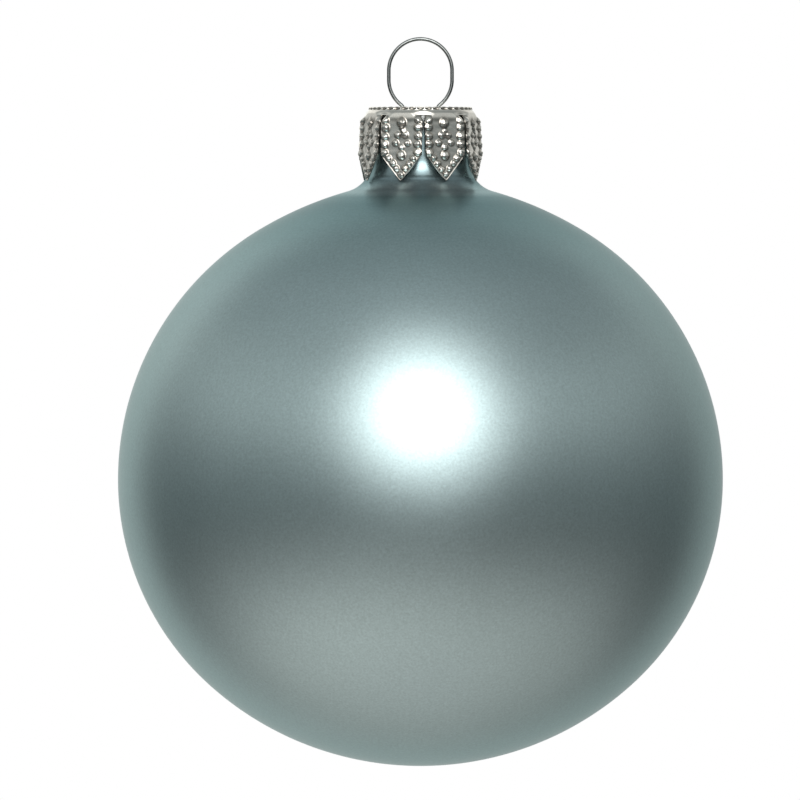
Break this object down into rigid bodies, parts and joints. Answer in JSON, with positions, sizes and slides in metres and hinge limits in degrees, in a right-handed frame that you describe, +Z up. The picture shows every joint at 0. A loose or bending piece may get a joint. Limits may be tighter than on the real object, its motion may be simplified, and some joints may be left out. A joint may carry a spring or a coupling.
{
  "type": "glass ball ornament",
  "caption": "Hanging blown glass ball with a matt metallic finish, a stamped crown cap and a sprung wire hanger loop.",
  "frame": {"origin": "the hang point: the inner top of the wire loop", "axes": "+Z up along the ball's axis; the wire loop lies in the XZ plane; one slit of the cap faces -Y, but for the cap's turn of 3 degrees about +Z"},
  "size_m": [0.08, 0.08, 0.0964],
  "materials": {
    "lacquered_glass": "satin",
    "cap_metal": "polished",
    "wire_steel": "polished"
  },
  "bodies": {
    "hanger": {"hanger_wire": "wire_steel"},
    "cap": {"crown_cap": "cap_metal"},
    "ball": {"glass_ball": "lacquered_glass"}
  },
  "joints": [
    {"name": "cap_swing", "type": "hinge", "parent": "hanger", "child": "cap", "pos_m": [0, 0, -0.00928], "axis": [1, 0, 0], "range_deg": [-15, 15]},
    {"name": "ball_pull", "type": "slide", "parent": "cap", "child": "ball", "axis": [0, 0, -1], "range_m": [0, 0.02]}
  ]
}
